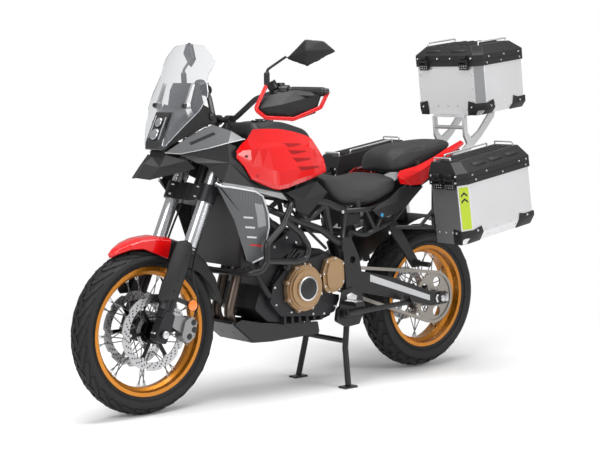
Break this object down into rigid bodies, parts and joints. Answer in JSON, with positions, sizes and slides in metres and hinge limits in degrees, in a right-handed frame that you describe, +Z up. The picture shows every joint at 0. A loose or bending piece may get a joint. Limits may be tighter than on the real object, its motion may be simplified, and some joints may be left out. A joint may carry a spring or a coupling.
{
  "type": "adventure motorcycle",
  "caption": "Upright adventure motorcycle with wire wheels, red panels, clear screen, crash bars and aluminium luggage cases, parked on its centre stand.",
  "frame": {"origin": "on the ground under the middle of the bounding box", "axes": "+X forward, +Y to the rider's left, +Z up"},
  "size_m": [2.3309, 0.956, 1.4712],
  "materials": {
    "tyre": "matte",
    "gold_rim": "gloss",
    "hub_black": "satin",
    "brake_steel": "satin",
    "fork_silver": "satin",
    "black_metal": "satin",
    "frame_grey": "satin",
    "engine_black": "satin",
    "bronze": "satin",
    "header_steel": "satin",
    "red_paint": "gloss",
    "black_plastic": "matte",
    "grey_plastic": "satin",
    "clear_screen": "gloss",
    "lamp_glass": "gloss",
    "seat_vinyl": "matte",
    "case_aluminium": "satin",
    "lid_black": "matte",
    "chain_steel": "satin",
    "rack_silver": "satin",
    "tank_steel": "satin"
  },
  "bodies": {
    "chassis": {"frame": "frame_grey", "subframe": "frame_grey", "engine": "engine_black", "engine_covers": "bronze", "radiator": "black_metal", "exhaust": "header_steel", "skid_plate": "black_metal", "crash_bars": "black_metal", "fuel_tank": "tank_steel", "tank_panels": "red_paint", "front_cowl": "black_plastic", "side_fairings": "grey_plastic", "headlamp": "lamp_glass", "windscreen": "clear_screen", "instrument_panel": "black_plastic", "rider_seat": "seat_vinyl", "pillion_seat": "seat_vinyl", "tail_panels": "red_paint", "side_covers": "black_plastic", "rear_fender": "black_plastic", "swingarm": "black_metal", "drive_chain": "chain_steel", "rear_shock": "black_metal", "footrests": "black_metal", "rear_rack": "rack_silver", "left_case": "case_aluminium", "right_case": "case_aluminium", "top_case": "case_aluminium"},
    "steering": {"fork_tubes": "fork_silver", "fork_legs": "black_metal", "triple_clamps": "black_metal", "front_calipers": "black_metal", "front_fender": "red_paint", "handlebar": "black_metal", "guard_bars": "red_paint", "hand_guards": "black_plastic", "mirrors": "black_plastic"},
    "front_wheel": {"front_tyre": "tyre", "front_rim": "gold_rim", "front_hub": "hub_black", "front_discs": "brake_steel"},
    "rear_wheel": {"rear_tyre": "tyre", "rear_rim": "gold_rim", "rear_hub": "hub_black", "rear_disc": "brake_steel", "rear_sprocket": "chain_steel"},
    "left_lid": {"left_lid": "lid_black"},
    "right_lid": {"right_lid": "lid_black"},
    "top_lid": {"top_lid": "lid_black"},
    "side_stand": {"side_stand": "black_metal"},
    "centre_stand": {"centre_stand": "black_metal"}
  },
  "joints": [
    {"name": "steering", "type": "hinge", "parent": "chassis", "child": "steering", "pos_m": [0.5429, 0, 0.9098], "axis": [-0.4067, 0, 0.9135], "range_deg": [-35, 35]},
    {"name": "front_wheel_spin", "type": "hinge", "parent": "steering", "child": "front_wheel", "pos_m": [0.8365, 0, 0.329], "axis": [0, 1, 0], "continuous": true},
    {"name": "rear_wheel_spin", "type": "hinge", "parent": "chassis", "child": "rear_wheel", "pos_m": [-0.6735, 0, 0.327], "axis": [0, 1, 0], "continuous": true},
    {"name": "left_lid_hinge", "type": "hinge", "parent": "chassis", "child": "left_lid", "pos_m": [-0.4435, 0.377, 0.8737], "axis": [0, 1, 0], "range_deg": [0, 80]},
    {"name": "right_lid_hinge", "type": "hinge", "parent": "chassis", "child": "right_lid", "pos_m": [-0.4435, -0.377, 0.8737], "axis": [0, 1, 0], "range_deg": [0, 80]},
    {"name": "top_lid_hinge", "type": "hinge", "parent": "chassis", "child": "top_lid", "pos_m": [-0.8341, 0, 1.3758], "axis": [0, 1, 0], "range_deg": [0, 80]},
    {"name": "side_stand_pivot", "type": "hinge", "parent": "chassis", "child": "side_stand", "pos_m": [-0.0655, 0.184, 0.32], "axis": [-0.0381, -0.8926, -0.4492], "range_deg": [0, 109]},
    {"name": "centre_stand_pivot", "type": "hinge", "parent": "chassis", "child": "centre_stand", "pos_m": [-0.1285, 0, 0.285], "axis": [0, 1, 0], "range_deg": [0, 78]}
  ]
}
